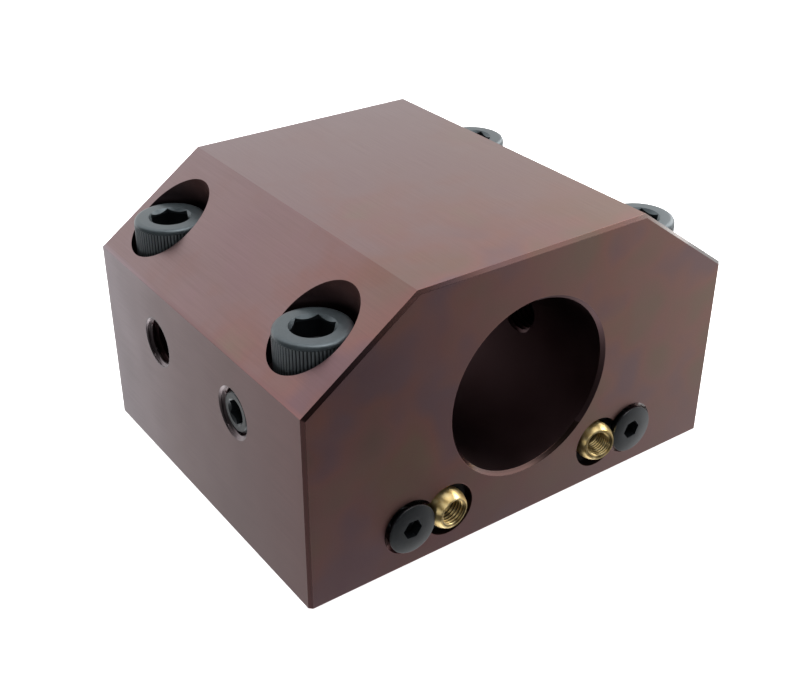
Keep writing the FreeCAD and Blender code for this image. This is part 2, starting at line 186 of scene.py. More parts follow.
# %% Cut one object with another
def cut(piece, cutter, solver="EXACT"):
    """Takes cutter's volume out of piece and deletes cutter."""
    modifier = piece.modifiers.new("cut", "BOOLEAN")
    modifier.operation = "DIFFERENCE"
    modifier.solver = solver
    modifier.object = cutter
    bpy.context.view_layer.update()
    shaped = piece.evaluated_get(bpy.context.evaluated_depsgraph_get())
    result = bpy.data.meshes.new_from_object(shaped)
    piece.modifiers.remove(modifier)
    piece.data = result
    piece.data.set_sharp_from_angle(angle=math.radians(SHARP_DEGREES))
    bpy.data.objects.remove(cutter)
    return piece


def cut_hexagon(piece, across_flats, depth, top, lead=0.1):
    """Hexagon socket from height top down; a lead is a cone that much wider than the corners."""
    corner = across_flats / math.sqrt(3)
    mouth = corner + lead
    above = 1.0
    floor_cone = 0.35 * corner
    cut(piece, turned("hexagon_cutter", [
        (0, top - depth - floor_cone), (corner, top - depth), (corner, top + above),
        (0, top + above)], 6))
    if not lead:
        return piece
    return cut(piece, turned("lead_cutter", [
        (0, top - mouth), (mouth + above, top + above), (0, top + above)], 96))


# %% [markdown]
# ## Camera
#
# The photo was taken from the front left and above. A camera was fitted to the block's straight
# edges, so its angle, distance and lens are known. It is close, so the edges converge strongly.
# It looks along its own -Z axis with +Y up, so the three columns of its matrix are its right, up
# and backward directions.

# %% Camera
AZIMUTH, ELEVATION, ROLL = (math.radians(angle) for angle in (-35.92, 30.36, 0.40))
DISTANCE = 285.0 * MM
TARGET = Vector((-0.56, 0.06, 23.13)) * MM
SENSOR_MM = 36.0
FOCAL_PIXELS, IMAGE_WIDTH = 1210.1, 811
LENS_MM = FOCAL_PIXELS / IMAGE_WIDTH * SENSOR_MM

backward = Vector((math.sin(AZIMUTH) * math.cos(ELEVATION),
                   -math.cos(AZIMUTH) * math.cos(ELEVATION), math.sin(ELEVATION)))
level_right = (-backward).cross(Vector((0, 0, 1))).normalized()
level_up = level_right.cross(-backward)
right = math.cos(ROLL) * level_right + math.sin(ROLL) * level_up
up = math.cos(ROLL) * level_up - math.sin(ROLL) * level_right

camera_data = bpy.data.cameras.new("camera")
camera_data.sensor_width = SENSOR_MM
camera_data.lens = LENS_MM
camera_data.clip_start = 10 * MM
camera_data.clip_end = 20
camera = bpy.data.objects.new("camera", camera_data)
camera.matrix_world = Matrix.Translation(TARGET + backward * DISTANCE) @ Matrix(
    (right, up, backward)).transposed().to_4x4()
bpy.context.scene.collection.objects.link(camera)
bpy.context.scene.camera = camera
print(f"lens {LENS_MM:.1f} mm, {DISTANCE / MM:.0f} mm from the block")

# %% [markdown]
# ## Colours and shader nodes
#
# Colours are picked as sRGB hex values, the way a colour picker shows them, and the renderer
# wants linear light. One function converts them. Another adds a node with its settings and its
# links in one call and gives back the output that the next node needs, so a material reads as a
# short list of what feeds what. An input that shares its name goes by its number, as in _6.

# %% Colour and node helpers
def linear(hex_colour):
    """Linear RGBA from an sRGB hex value such as #5b3f3a."""
    channels = [int(hex_colour[start:start + 2], 16) / 255 for start in (1, 3, 5)]
    lit = [c / 12.92 if c <= 0.04045 else ((c + 0.055) / 1.055) ** 2.4 for c in channels]
    return (*lit, 1.0)


def grey(level):
    """Linear grey; in a ramp that serves as a mask it stands for a share of 0 to 1."""
    return (level, level, level, 1.0)


def fill_ramp(elements, stops):
    """Gives a colour ramp its (position, colour) stops, which come in rising order."""
    for number, (position, colour) in enumerate([stops[0], stops[-1]] + stops[1:-1]):
        element = elements[number] if number < 2 else elements.new(position)
        element.position = position
        element.color = linear(colour) if isinstance(colour, str) else colour


def add_node(tree, kind, settings=None, output=0, **inputs):
    """Adds a node and gives one of its outputs. An input is a value, a hex colour or a socket."""
    node = tree.nodes.new(kind)
    for name, value in (settings or {}).items():
        if name == "stops":
            fill_ramp(node.color_ramp.elements, value)
        else:
            setattr(node, name, value)
    for name, value in inputs.items():
        number = name[1:]
        socket = node.inputs[int(number) if number.isdigit() else name.replace("_", " ")]
        if isinstance(value, bpy.types.NodeSocket):
            tree.links.new(value, socket)
        else:
            socket.default_value = linear(value) if isinstance(value, str) else value
    return node.outputs[output] if node.outputs else node


# %% [markdown]
# Nodes that come up often get short names. A colour mix has its factor at input 0, its colours
# at 6 and 7 and its result at output 2. The helper `tinted` is the brush that paints most
# finishes: it lays a colour over another where a value, such as a height, lies in a range.

# %% Names of nodes, scales and tints
NOISE, RAMP, RANGE = "ShaderNodeTexNoise", "ShaderNodeValToRGB", "ShaderNodeMapRange"
MIX, COLOURS, MIXED = "ShaderNodeMix", {"data_type": "RGBA"}, 2
MATH, VECTOR_MATH = "ShaderNodeMath", "ShaderNodeVectorMath"
BUMP, MAPPING = "ShaderNodeBump", "ShaderNodeMapping"
SPLIT, JOIN, ALL = "ShaderNodeSeparateXYZ", "ShaderNodeCombineXYZ", slice(3)
SUBTRACT, MULTIPLY = {"operation": "SUBTRACT"}, {"operation": "MULTIPLY"}
ABSOLUTE, LENGTH = {"operation": "ABSOLUTE"}, {"operation": "LENGTH"}


def per_mm(size):
    """Texture scale that makes one cell of a pattern as wide as size, in millimetres."""
    return 1 / (size * MM)


def new_material(name):
    """Material without nodes, the function that adds one, and the piece's own coordinates."""
    material = bpy.data.materials.new(name)
    material.use_nodes = True
    material.node_tree.nodes.clear()
    add = functools.partial(add_node, material.node_tree)
    return material, add, add("ShaderNodeTexCoord", output="Object")


def surfaced(material, **inputs):
    """Ends a material with its surface shader, whose inputs are given."""
    surface = add_node(material.node_tree, "ShaderNodeBsdfPrincipled", **inputs)
    add_node(material.node_tree, "ShaderNodeOutputMaterial", Surface=surface)
    print(f"{material.name}: {len(material.node_tree.nodes)} nodes")
    return material


def uneven(add, noise, low, high):
    """Value between low and high that follows a noise, most of which lies in 0.3 to 0.7."""
    return add(RANGE, Value=noise, From_Min=0.3, From_Max=0.7, To_Min=low, To_Max=high)


def tinted(add, body, colour, value, first, last):
    """Body with a colour over it. First and last are pairs: a value and the colour's share."""
    share = add(RANGE, Value=value, From_Min=first[0], From_Max=last[0],
                To_Min=first[1], To_Max=last[1])
    return add(MIX, COLOURS, MIXED, _0=share, _6=body, _7=colour)


# %% [markdown]
# Fine machining marks run one way, and coordinates that are stretched before a noise texture
# make such streaks. Edges wear first. The Bevel node finds them: it gives the normal of a
# rounded edge, which differs from the true normal only there.

# %% Streaks and edge masks
BEVEL_SAMPLES = 6


def streaks(add, place, width, length):
    """Noise in streaks along Y, of a width and a length in millimetres."""
    stretched = add(MAPPING, Vector=place, Scale=(per_mm(width), per_mm(length), per_mm(width)))
    return add(NOISE, Vector=stretched, Scale=1.0, Detail=2.0)


def edge_mask(add, reach):
    """1 on convex and concave edges and 0 away from them; reach is in millimetres."""
    rounded = add("ShaderNodeBevel", {"samples": BEVEL_SAMPLES}, Radius=reach * MM)
    flat = add("ShaderNodeNewGeometry", output="Normal")
    likeness = add(VECTOR_MATH, {"operation": "DOT_PRODUCT"}, "Value", _0=rounded, _1=flat)
    return add(RANGE, Value=likeness, From_Min=0.995, From_Max=0.85)


# %% [markdown]
# ## Brown oxide on ground steel
#
# The block is tool steel, milled and ground, then heated in a salt or steam bath. That grows a
# hard film of iron oxide less than a micron thick. The film isn't paint: light passes through
# it, comes back from the steel and is tinted on the way. So the block still shines like a
# metal: bright where it mirrors a bright wall and nearly black where it mirrors a dark one. The
# shader is a metal with a dull brown reflection, and it keeps the default IOR.
#
# The film's colour depends on its thickness, as temper colours do. It runs through purple,
# brown, red and olive in broad drifts, greyer towards the rear and more olive to the right.

# %% Film colours in broad drifts
def film_colours(add, place, drift_place, across, along):
    """Film in drifts about 32 mm wide with patches of 11 mm in them; gives the patches too."""
    drift = add(NOISE, Vector=drift_place, Scale=per_mm(32), Detail=1.5,
                Roughness=0.45, Distortion=0.4)
    patches = add(NOISE, Vector=place, Scale=per_mm(11), Detail=2.5, Roughness=0.55)
    thickness = add(MIX, COLOURS, MIXED, _0=0.35, _6=drift, _7=patches)
    body = add(RAMP, Fac=thickness, settings={"stops": [
        (0.38, "#9a7275"), (0.48, "#9c7776"), (0.57, "#a07069"), (0.66, "#9a7d6a")]})
    body = tinted(add, body, "#a2806c", across, (-25 * MM, 0.0), (55 * MM, 0.7))
    body = tinted(add, body, "#a48b8d", along, (-35 * MM, 0.0), (44 * MM, 0.8))
    return body, patches


# %% [markdown]
# Two faces differ from the rest. The front has stronger blotches, about 20 mm wide, and turns
# purple near the base. The left side is red at the front and lilac grey at the rear.

# %% Film on the front and on the left side
def front_film(add, body, drift_place, along, upward):
    """Blotches that fade out some 20 mm behind the front face."""
    blotches = add(NOISE, Vector=drift_place, Scale=per_mm(20), Detail=2.0, Roughness=0.5)
    film = add(RAMP, Fac=blotches, settings={"stops": [
        (0.4, "#84606c"), (0.5, "#a4685c"), (0.62, "#8e7058")]})
    film = tinted(add, film, "#84606c", upward, (2 * MM, 0.75), (26 * MM, 0.0))
    return tinted(add, body, film, along, (-44 * MM, 0.55), (-22 * MM, 0.0))


def left_side_film(add, body, across, along):
    """Red to lilac along the left side; its mask ends just inside the left plane."""
    share_of_depth = add(RANGE, Value=along, From_Min=-44 * MM, From_Max=44 * MM)
    film = add(RAMP, Fac=share_of_depth, settings={"stops": [
        (0.0, "#ab7776"), (0.3, "#966b6c"), (0.6, "#977174"), (1.0, "#bba9b3")]})
    return tinted(add, body, film, across, (-54.9 * MM, 0.85), (-54.0 * MM, 0.0))


# %% [markdown]
# The cones at the mouths of the side holes are painted a light grey. Their mask is the distance
# from the nearest hole's axis; the holes lie evenly about a line just behind the middle. The
# chamfers get painted shade along the top, are darker round the bore's rim and darkest at its
# inner edge, and get a grey painted highlight on the right.

# %% Grey mouths of the side holes, and painted shade and highlight on the chamfers
SIDE_HOLE_MIDDLE, SIDE_HOLE_SPREAD = 0.5, 17.0
BORE_RADIUS, BORE_HEIGHT = 20.0, 32.0


def grey_mouths(add, body, along, upward):
    """Grey on the cones round the four side holes, which lie at the height of the bore."""
    from_middle = add(MATH, SUBTRACT, _0=along, _1=SIDE_HOLE_MIDDLE * MM)
    either_way = add(MATH, ABSOLUTE, _0=from_middle)
    beside = add(MATH, SUBTRACT, _0=either_way, _1=SIDE_HOLE_SPREAD * MM)
    above = add(MATH, SUBTRACT, _0=upward, _1=BORE_HEIGHT * MM)
    from_axis = add(VECTOR_MATH, LENGTH, "Value", Vector=add(JOIN, X=beside, Y=above))
    return tinted(add, body, "#8f868b", from_axis, (5.8 * MM, 0.8), (5.95 * MM, 0.0))


def chamfer_shade_and_highlight(add, body, place, across, upward, right_highlight):
    """Painted shade along the top, darker round the bore's rim, and a grey painted highlight at
    the right.
    """
    # Painted shade on the chamfers along the top of the block
    body = tinted(add, body, "#4a3633", upward, (62 * MM, 0.0), (62.6 * MM, 0.3))
    flattened = add(MAPPING, Vector=place, Location=(0, 0, -BORE_HEIGHT * MM), Scale=(1, 0, 1))
    from_axis = add(VECTOR_MATH, LENGTH, "Value", Vector=flattened)
    over_edge = add(RANGE, Value=from_axis, From_Min=BORE_RADIUS * MM,
                    From_Max=(BORE_RADIUS + 1) * MM)
    rim = add(RAMP, Fac=over_edge, settings={"stops": [
        (0.32, grey(0.5)), (0.42, grey(0.35)), (0.9, grey(0.35)), (0.95, grey(0.0))]})
    body = add(MIX, COLOURS, MIXED, _0=rim, _6=body, _7="#30211f")
    # Painted highlight: light grey laid over the chamfers at the right
    return tinted(add, body, "#8f9190", across, (26 * MM, 0.0), (34 * MM, right_highlight))


# %% [markdown]
# The counterbores and the recesses of the nozzles were never oiled. Their walls get painted
# shade in the depth, and the top of each counterbore's inner wall gets a reddish painted light.

# %% Painted shade and light in the counterbores
BLOCK_HEIGHT = 63.5


def counterbore_shade_and_light(add, body, across, upward):
    """Painted shade between about 19 and 59 mm up, and painted light at the inner wall's top."""
    share_of_height = add(RANGE, Value=upward, From_Max=BLOCK_HEIGHT * MM)
    # Painted shade on the walls between about 19 and 59 mm up
    depth = add(RAMP, Fac=share_of_height, settings={"stops": [
        (0.3, grey(0)), (0.45, grey(0.8)), (0.87, grey(0.8)), (0.925, grey(0))]})
    shade_colour = "#33272a"
    body = add(MIX, COLOURS, MIXED, _0=depth, _6=body, _7=shade_colour)
    sideways = add(MATH, ABSOLUTE, _0=across)
    # Painted light at the top of each counterbore's inner wall
    lit_wall_top = tinted(add, shade_colour, "#d09a96", upward, (54 * MM, 0.0), (58 * MM, 0.75))
    return tinted(add, body, lit_wall_top, sideways, (34.3 * MM, 0.8), (37 * MM, 0.0))


# %% [markdown]
# Browned parts are wiped with oil. The oil is a clear coat with an IOR of 1.5, and it adds a
# colourless reflection that grows as the view gets flatter, so a face that is seen at a low
# angle looks greyer.
#
# One function makes three kinds: the ground faces, with lines 0.25 mm apart along Y, the
# chamfers, which a milling cutter left smoother, and the dry counterbores, whose film scatters a
# little and so is a touch less metallic. The Bevel node rounds each edge for the highlight.

# %% Brown oxide finish
OIL_IOR = 1.5


def oxide_browned(name, roughness, oiled, metallic=1.0, right_highlight=0.0):
    """Browned steel. The last argument is the share of grey painted highlight on chamfers at the
    right, 0 elsewhere.
    """
    material, add, place = new_material(name)
    # The offset picks a part of the noise that puts purple at the front left, as on the block
    drift_place = add(MAPPING, Vector=place, Location=(37 * MM, 12 * MM, 5 * MM))
    across, along, upward = add(SPLIT, output=ALL, Vector=place)
    body, patches = film_colours(add, place, drift_place, across, along)
    body = front_film(add, body, drift_place, along, upward)
    if oiled:
        body = left_side_film(add, body, across, along)
        body = grey_mouths(add, body, along, upward)
    else:
        body = counterbore_shade_and_light(add, body, across, upward)
    if right_highlight:
        body = chamfer_shade_and_highlight(add, body, place, across, upward, right_highlight)
    grinding = streaks(add, place, 0.25, 14)
    body = tinted(add, body, "#6d5350", grinding, (0.3, 0.0), (0.7, 0.12))
    relief = add(BUMP, Height=grinding, Strength=0.05, Distance=0.01 * MM)
    smooth_edge = add("ShaderNodeBevel", {"samples": BEVEL_SAMPLES},
                      Radius=0.12 * MM, Normal=relief)
    wear = add(MIX, COLOURS, MIXED, _0=0.5, _6=grinding, _7=patches)
    rough = uneven(add, wear, roughness - 0.05, roughness + 0.05)
    return surfaced(material, Base_Color=body, Roughness=rough, Normal=smooth_edge,
                    Metallic=metallic, Coat_Weight=1.0 if oiled else 0.0, Coat_IOR=OIL_IOR,
                    Coat_Roughness=roughness - 0.06)


GROUND_STEEL = oxide_browned("oxide_browned_ground_steel", 0.38, oiled=True)
MILLED_STEEL = oxide_browned("oxide_browned_milled_steel", 0.2, oiled=True, right_highlight=0.8)
DRY_STEEL = oxide_browned("oxide_browned_dry_steel", 0.4, oiled=False, metallic=0.985)

# %% [markdown]
# The bath soaks longest in the drillings and nobody wipes them bright, so the film inside them
# is thick, dry and nearly black. The rings that the boring tool left there are 0.1 mm apart,
# which is too fine to show, so they are drawn 0.4 mm apart. A wave texture repeats 20 times in
# one unit at a scale of 1.

# %% Material inside the holes
WAVES_PER_UNIT = 20


def oxide_blackened_bores():
    """Thick, dry oxide in the bored and drilled holes."""
    material, add, place = new_material("oxide_blackened_bores")
    feed_marks = add("ShaderNodeTexWave", {"bands_direction": "Y"}, "Fac", Vector=place,
                     Scale=per_mm(0.4) / WAVES_PER_UNIT, Distortion=1.5, Detail=1.0)
    soot = add(NOISE, Vector=place, Scale=per_mm(9), Detail=3.0)
    body = add(MIX, COLOURS, MIXED, _0=soot, _6="#5d484a", _7="#6c5557")
    relief = add(BUMP, Height=feed_marks, Strength=0.08, Distance=0.01 * MM)
    return surfaced(material, Base_Color=body, Roughness=uneven(add, soot, 0.42, 0.52),
                    Normal=relief, Metallic=1.0)


BORE_STEEL = oxide_blackened_bores()

# %% [markdown]
# ## Turned pieces
#
# On screws and balls the rings of the tool and the painted shade in a socket depend only on the
# distance from the axis and the height. A socket's mouth is a cone at 45 degrees: on it, height
# minus radius stays the same, and under it that difference is smaller, which makes a mask.

# %% Rings and sockets of turned pieces
def radius_and_rings(add, place, ring_mm):
    """Distance from the piece's Z axis, height along it, and noise in rings round it."""
    x, y, height = add(SPLIT, output=ALL, Vector=place)
    radius = add(VECTOR_MATH, LENGTH, "Value", Vector=add(JOIN, X=x, Y=y))
    rings = add(NOISE, Vector=add(JOIN, X=radius, Z=height), Scale=per_mm(ring_mm), Detail=1.0)
    return radius, height, rings


def in_socket(add, radius, height, mouth, top):
    """1 in a hexagon socket: under the cone of its mouth and nearer to the axis than it."""
    over_cone = add(MATH, SUBTRACT, _0=height, _1=radius)
    under_cone = add(RANGE, Value=over_cone, From_Min=(top - mouth - 0.08) * MM,
                     From_Max=(top - mouth - 0.03) * MM, To_Min=1.0, To_Max=0.0)
    inside_mouth = add(RANGE, Value=radius, From_Min=(mouth - 0.06) * MM,
                       From_Max=(mouth - 0.02) * MM, To_Min=1.0, To_Max=0.0)
    return add(MATH, MULTIPLY, _0=under_cone, _1=inside_mouth)


# %% [markdown]
# ## Black oxide on screws
#
# Screws are alloy steel, cold headed or turned, and blackened in a hot bath that turns the skin
# to magnetite. That skin is a dark blue-grey metal that scatters a little, so metallic is 0.85.
# Cap screws are tumbled after heading and evenly dull; the ridges of their knurl get painted
# light and its grooves painted shade. Set screws are darker, and flat heads darkest. All are
# sold oiled, so they get the same clear coat as the block.

# %% Screw materials
GROOVE_RADIUS, RIDGE_RADIUS = 7.75, 7.95
KNURL_TOP, HEAD_TOP_START = 8.8, 9.0


def black_oxide(name, body_colour, rub_colour, roughness, ring_mm, socket_mouth=0.0, top=0.0,
                knurled=False):
    """Blackened steel. A socket with a mouth of that radius, under that top, gets painted shade.
    """
    material, add, place = new_material(name)
    radius, height, rings = radius_and_rings(add, place, ring_mm)
    mottle = add(NOISE, Vector=place, Scale=per_mm(0.8), Detail=4.0, Roughness=0.6)
    body = tinted(add, body_colour, rub_colour, mottle, (0.35, 0.0), (0.7, 0.5))
    body = tinted(add, body, "#7d8588", edge_mask(add, 0.15), (0.0, 0.0), (1.0, 0.3))
    if knurled:
        # Painted light on the knurl's ridges and painted shade in its grooves
        side = tinted(add, "#22272a", "#889196", radius,
                      (GROOVE_RADIUS * MM, 0.0), (RIDGE_RADIUS * MM, 1.0))
        body = tinted(add, body, side, height, (KNURL_TOP * MM, 1.0), (HEAD_TOP_START * MM, 0.0))
    if socket_mouth:
        # Painted shade in the hexagon socket
        socket_shade = in_socket(add, radius, height, socket_mouth, top)
        body = tinted(add, body, "#202329", socket_shade, (0.0, 0.0), (1.0, 0.5))
    texture = add(MIX, COLOURS, MIXED, _0=0.4, _6=rings, _7=mottle)
    relief = add(BUMP, Height=texture, Strength=0.12, Distance=0.02 * MM)
    rough = uneven(add, mottle, roughness - 0.06, roughness + 0.08)
    return surfaced(material, Base_Color=body, Roughness=rough, Normal=relief, Metallic=0.85,
                    Coat_Weight=1.0, Coat_IOR=OIL_IOR, Coat_Roughness=0.32)


CAP_SCREW_STEEL = black_oxide("black_oxide_headed_steel", "#566065", "#687378", 0.38, 0.2,
                              socket_mouth=4.72, top=10.0, knurled=True)
TURNED_SCREW_STEEL = black_oxide("black_oxide_turned_steel", "#3b4044", "#4c5256", 0.36, 0.1,
                                 socket_mouth=2.99)
FLAT_HEAD_STEEL = black_oxide("black_oxide_flat_heads", "#292d31", "#34393e", 0.36, 0.1)

# %% [markdown]
# ## Turned brass
#
# The coolant balls are free-cutting brass, turned and left bright. Brass is a real metal, so
# metallic is 1 and the colour is that of its reflection. The tool leaves rings some hundredths
# of a millimetre apart; they are drawn 0.12 mm apart, as fine as the render can show. They also
# stretch each highlight into a wedge, as an anisotropic shader with its tangent round the axis
# does. The thread's grooves, between its crests and the mouth, get a dark painted shade.

# %% Brass
def turned_brass():
    """Bright turned brass, with painted shade in the grooves of the thread."""
    material, add, place = new_material("turned_brass")
    radius, height, rings = radius_and_rings(add, place, 0.12)
    tarnish = add(NOISE, Vector=place, Scale=per_mm(1.6), Detail=3.0, Roughness=0.6)
    body = add(RAMP, {"stops": [(0.35, "#e2c380"), (0.65, "#f3dda4")]}, Fac=tarnish)
    # Painted shade in the grooves of the thread, between its crests and the mouth
    in_groove = add(RANGE, Value=radius, From_Min=2.8 * MM, From_Max=3.05 * MM, To_Max=0.8)
    inside_mouth = add(RANGE, Value=radius, From_Min=3.24 * MM, From_Max=3.3 * MM,
                       To_Min=1.0, To_Max=0.0)
    groove_shade = add(MATH, MULTIPLY, _0=in_groove, _1=inside_mouth)
    body = add(MIX, COLOURS, MIXED, _0=groove_shade, _6=body, _7="#3a2210")
    relief = add(BUMP, Height=rings, Strength=0.12, Distance=0.01 * MM)
    round_axis = add("ShaderNodeTangent", {"direction_type": "RADIAL", "axis": "Z"})
    return surfaced(material, Base_Color=body, Roughness=uneven(add, tarnish, 0.34, 0.42),
                    Normal=relief, Metallic=1.0, Anisotropic=0.85, Anisotropic_Rotation=0.25,
                    Tangent=round_axis)


BRASS = turned_brass()

# %% [markdown]
# ## Rubber
#
# The seals are moulded nitrile rubber: black and dull, with a faint orange peel from the mould
# and an IOR of about 1.52.

# %% Rubber
def nitrile_rubber():
    """Moulded black rubber."""
    material, add, place = new_material("nitrile_rubber")
    peel = add(NOISE, Vector=place, Scale=per_mm(0.3), Detail=2.0)
    body = add(MIX, COLOURS, MIXED, _0=peel, _6="#131212", _7="#1d1b1b")
    relief = add(BUMP, Height=peel, Strength=0.2, Distance=0.02 * MM)
    return surfaced(material, Base_Color=body, Normal=relief, Roughness=0.7, IOR=1.52)


RUBBER = nitrile_rubber()

# %% [markdown]
# ## Dressing a piece
#
# Each piece gets its material and the body that it moves with, and the CAD nodes that it stands
# for are hidden. One function does all three.

# %% Dress a piece
def dress(piece, material, body, slot, *replaced):
    """Gives a piece its material and its body, and hides the CAD nodes that it stands for; slot is
    not used.
    """
    piece.data.materials.clear()
    piece.data.materials.append(material)
    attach(piece, body)
    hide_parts(*replaced)
    print(f"{piece.name}: {len(piece.data.polygons)} faces")


# %% [markdown]
# ## The block
#
# The block's CAD solid already has every drilling, chamfer and counterbore in its place, so
# this piece starts as a copy of its mesh. What the solid leaves out is the thread in the four
# side holes. A cutter shaped like a slightly bigger screw takes the grooves out of the wall.

# %% Copy the block's solid
SEAM_GAP = 0.0005 * MM
BLOCK_SHARP_DEGREES = 25


def copied(node, name):
    """New object from a CAD node's mesh, with the seams between its faces closed."""
    mesh = bmesh.new()
    mesh.from_mesh(nodes[node].data)
    bmesh.ops.remove_doubles(mesh, verts=mesh.verts, dist=SEAM_GAP)
    return finished(name, mesh, BLOCK_SHARP_DEGREES)


block = copied("holder_block", "machined_block")
block_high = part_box("holder_block")[1]
half_width = block_high.x / MM
print(f"block {2 * half_width:.1f} mm wide, {block_high.z / MM:.1f} mm high")

# %% [markdown]
# The side holes are threaded M10, with a pitch of 1.5 mm. Their screws slide when the model is
# posed, so the crests stay at the radius of the plain hole and the grooves go outward. The
# cutter starts inside the bore, 18 mm from the middle, and ends past the side. A second cutter
# opens each mouth to a cone. That was done by hand, so the four cones differ in width.

# %% Thread the four side holes
CLAMP_PITCH, CLAMP_HOLE_RADIUS, CLAMP_GROOVE = 1.5, 5.05, 0.62
THREAD_START, PAST_SIDE, INSIDE_HOLE = 18, 1, 0.05
# Width and depth of each mouth's cone
MOUTHS = {"front_left": (0.8, 0.7), "rear_left": (0.4, 0.8),
          "front_right": (0.6, 0.7), "rear_right": (0.5, 0.7)}


def thread_cutter(low, high):
    """Screw-shaped cutter whose roots stay inside the hole and whose crests cut grooves."""
    wall = [(CLAMP_HOLE_RADIUS - INSIDE_HOLE, height)
            for height in heights_between(low, high, CLAMP_PITCH / 10)]

    def ripple(angle, radius, height):
        return (CLAMP_GROOVE + INSIDE_HOLE) * (1 - thread_depth(angle, height, CLAMP_PITCH))

    return turned("thread_cutter", [(0, low)] + wall + [(0, high)], 48, ripple)


def pointing(direction):
    """Rotation that turns +Z towards a direction."""
    return Vector((0, 0, 1)).rotation_difference(Vector(direction)).to_matrix().to_4x4()


for clamp, (mouth_width, mouth_depth) in MOUTHS.items():
    low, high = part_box(f"bar_clamp_screw_{clamp}")
    side = -1 if clamp.endswith("left") else 1
    cutter = thread_cutter(THREAD_START, half_width + PAST_SIDE)
    centre = (low + high) / 2
    cutter_place = Matrix.Translation((0, centre.y, centre.z)) @ pointing((side, 0, 0))
    cutter.matrix_world = cutter_place
    cut(block, cutter, "MANIFOLD")
    mouth_radius = CLAMP_HOLE_RADIUS + mouth_width
    mouth = turned("mouth_cutter", [
        (0, half_width - mouth_depth), (CLAMP_HOLE_RADIUS, half_width - mouth_depth),
        (mouth_radius, half_width), (mouth_radius, half_width + PAST_SIDE),
        (0, half_width + PAST_SIDE)], 96)
    mouth.matrix_world = cutter_place
    cut(block, mouth, "MANIFOLD")
dress(block, GROUND_STEEL, "holder", "oxided_steel", "holder_block")

# %% [markdown]
# Each face now gets the finish of its cutting step. A face whose centre is well under every
# outer plane lies in a hole; the counterbores and nozzle recesses are wide open, so they stay
# brown, and the other holes are nearly black. Near the skin, a face that is parallel to none of
# the outer planes is a chamfer, unless it lies round a side hole.

# %% Tell faces apart by their place
SKIN = 1.2
SLOPE_FOOT_HEIGHT, SLOPE_TOP_WIDTH = 45.1, 29.2
COUNTERBORE_REACH = 9.3
RECESS_DEPTH, RECESS_TOP, RECESS_MIDDLE, RECESS_HALF_WIDTH = 9, 17, 25.5, 12
SIDE_HOLES_REACH = 24
LEAST_FLATNESS = 0.97

slope_start = Vector((half_width, SLOPE_FOOT_HEIGHT))
slope = Vector((SLOPE_TOP_WIDTH, block_high.z / MM)) - slope_start
slope_normal = Vector((slope.y, -slope.x)).normalized()
counterbores = [sum(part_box(f"mount_screw_{corner}"), Vector()) / 2 / MM for corner in MOUTHS]


def depth_under_skin(point):
    """Distance in millimetres from a point inside the block to the nearest outer plane."""
    outward = Vector((abs(point.x), point.z))
    return min(half_width - abs(point.x), block_high.y / MM - abs(point.y), point.z,
               block_high.z / MM - point.z, (slope_start - outward).dot(slope_normal))


def is_wide_open(point):
    """True in a counterbore, or in the front recess of a nozzle."""
    in_counterbore = any((point - centre).xy.length < COUNTERBORE_REACH for centre in counterbores)
    in_recess = (point.y < -block_high.y / MM + RECESS_DEPTH and point.z < RECESS_TOP
                 and abs(abs(point.x) - RECESS_MIDDLE) < RECESS_HALF_WIDTH)
    return in_counterbore or in_recess


def is_chamfer(point, normal):
    """True for a face near the skin that lies in none of the outer planes."""
    flatness = max(abs(normal.x), abs(normal.y), abs(normal.z),
                   Vector((abs(normal.x), normal.z)).dot(slope_normal))
    from_middle = Vector((point.y - SIDE_HOLE_MIDDLE, point.z - BORE_HEIGHT)).length
    at_side_hole = half_width - abs(point.x) < SKIN and from_middle < SIDE_HOLES_REACH
    return flatness < LEAST_FLATNESS and not at_side_hole


print(f"{len(counterbores)} counterbores, slope of {slope.length:.1f} mm")

# %% [markdown]
# The upper right of the bore's front rim gets the nearly black finish of the bore, as painted
# shade; elsewhere the rim is a chamfer like the others.
#
# Cutting the threads left long thin triangles on the bore's wall. Averaged over them, the vertex
# normals tilt and draw a bright streak, so the wall gets its exact normals, towards the axis.

# %% Finish of each face
RIM_REACH, DARK_RIM_START = 0.85, 18
ON_WALL, FACES_SIDEWAYS = 0.02, 0.1
finishes = (GROUND_STEEL, MILLED_STEEL, DRY_STEEL, BORE_STEEL)
GROUND, MILLED, DRY, BLACK = range(4)
for finish in finishes[1:]:
    block.data.materials.append(finish)


def finish_of(face):
    """Index of the finish that a face of the block gets."""
    centre = face.center / MM
    if depth_under_skin(centre) > SKIN:
        return DRY if is_wide_open(centre) else BLACK
    at_rim = Vector((centre.x, centre.z - BORE_HEIGHT)).length < BORE_RADIUS + RIM_REACH
    # Painted shade: the upper right of the bore's rim takes the nearly black bore finish
    if at_rim and centre.x > 0 and centre.z > DARK_RIM_START:
        return BLACK
    return MILLED if is_chamfer(centre, face.normal) else GROUND


mesh = block.data
normals = [Vector(corner.vector) for corner in mesh.corner_normals]
for face in mesh.polygons:
    face.material_index = finish_of(face)
    for corner in face.loop_indices:
        point = mesh.vertices[mesh.loops[corner].vertex_index].co / MM
        toward_axis = Vector((-point.x, 0, BORE_HEIGHT - point.z))
        on_wall = abs(toward_axis.length - BORE_RADIUS) < ON_WALL
        if on_wall and abs(face.normal.y) < FACES_SIDEWAYS:
            normals[corner] = toward_axis.normalized()
mesh.normals_split_custom_set(normals)
for index, finish in enumerate(finishes):
    print(f"{finish.name}: {sum(face.material_index == index for face in mesh.polygons)} faces")

# %% [markdown]
# ## Cap screws
#
# A socket head cap screw is cold headed, and its head is rolled between toothed dies, which
# press a straight knurl of fine ridges into the side. The ripple moves the side in between the
# ridges, and fades out over the rounded edges. The four heads were tightened to different
# angles, so each hexagon is turned as in the photo.

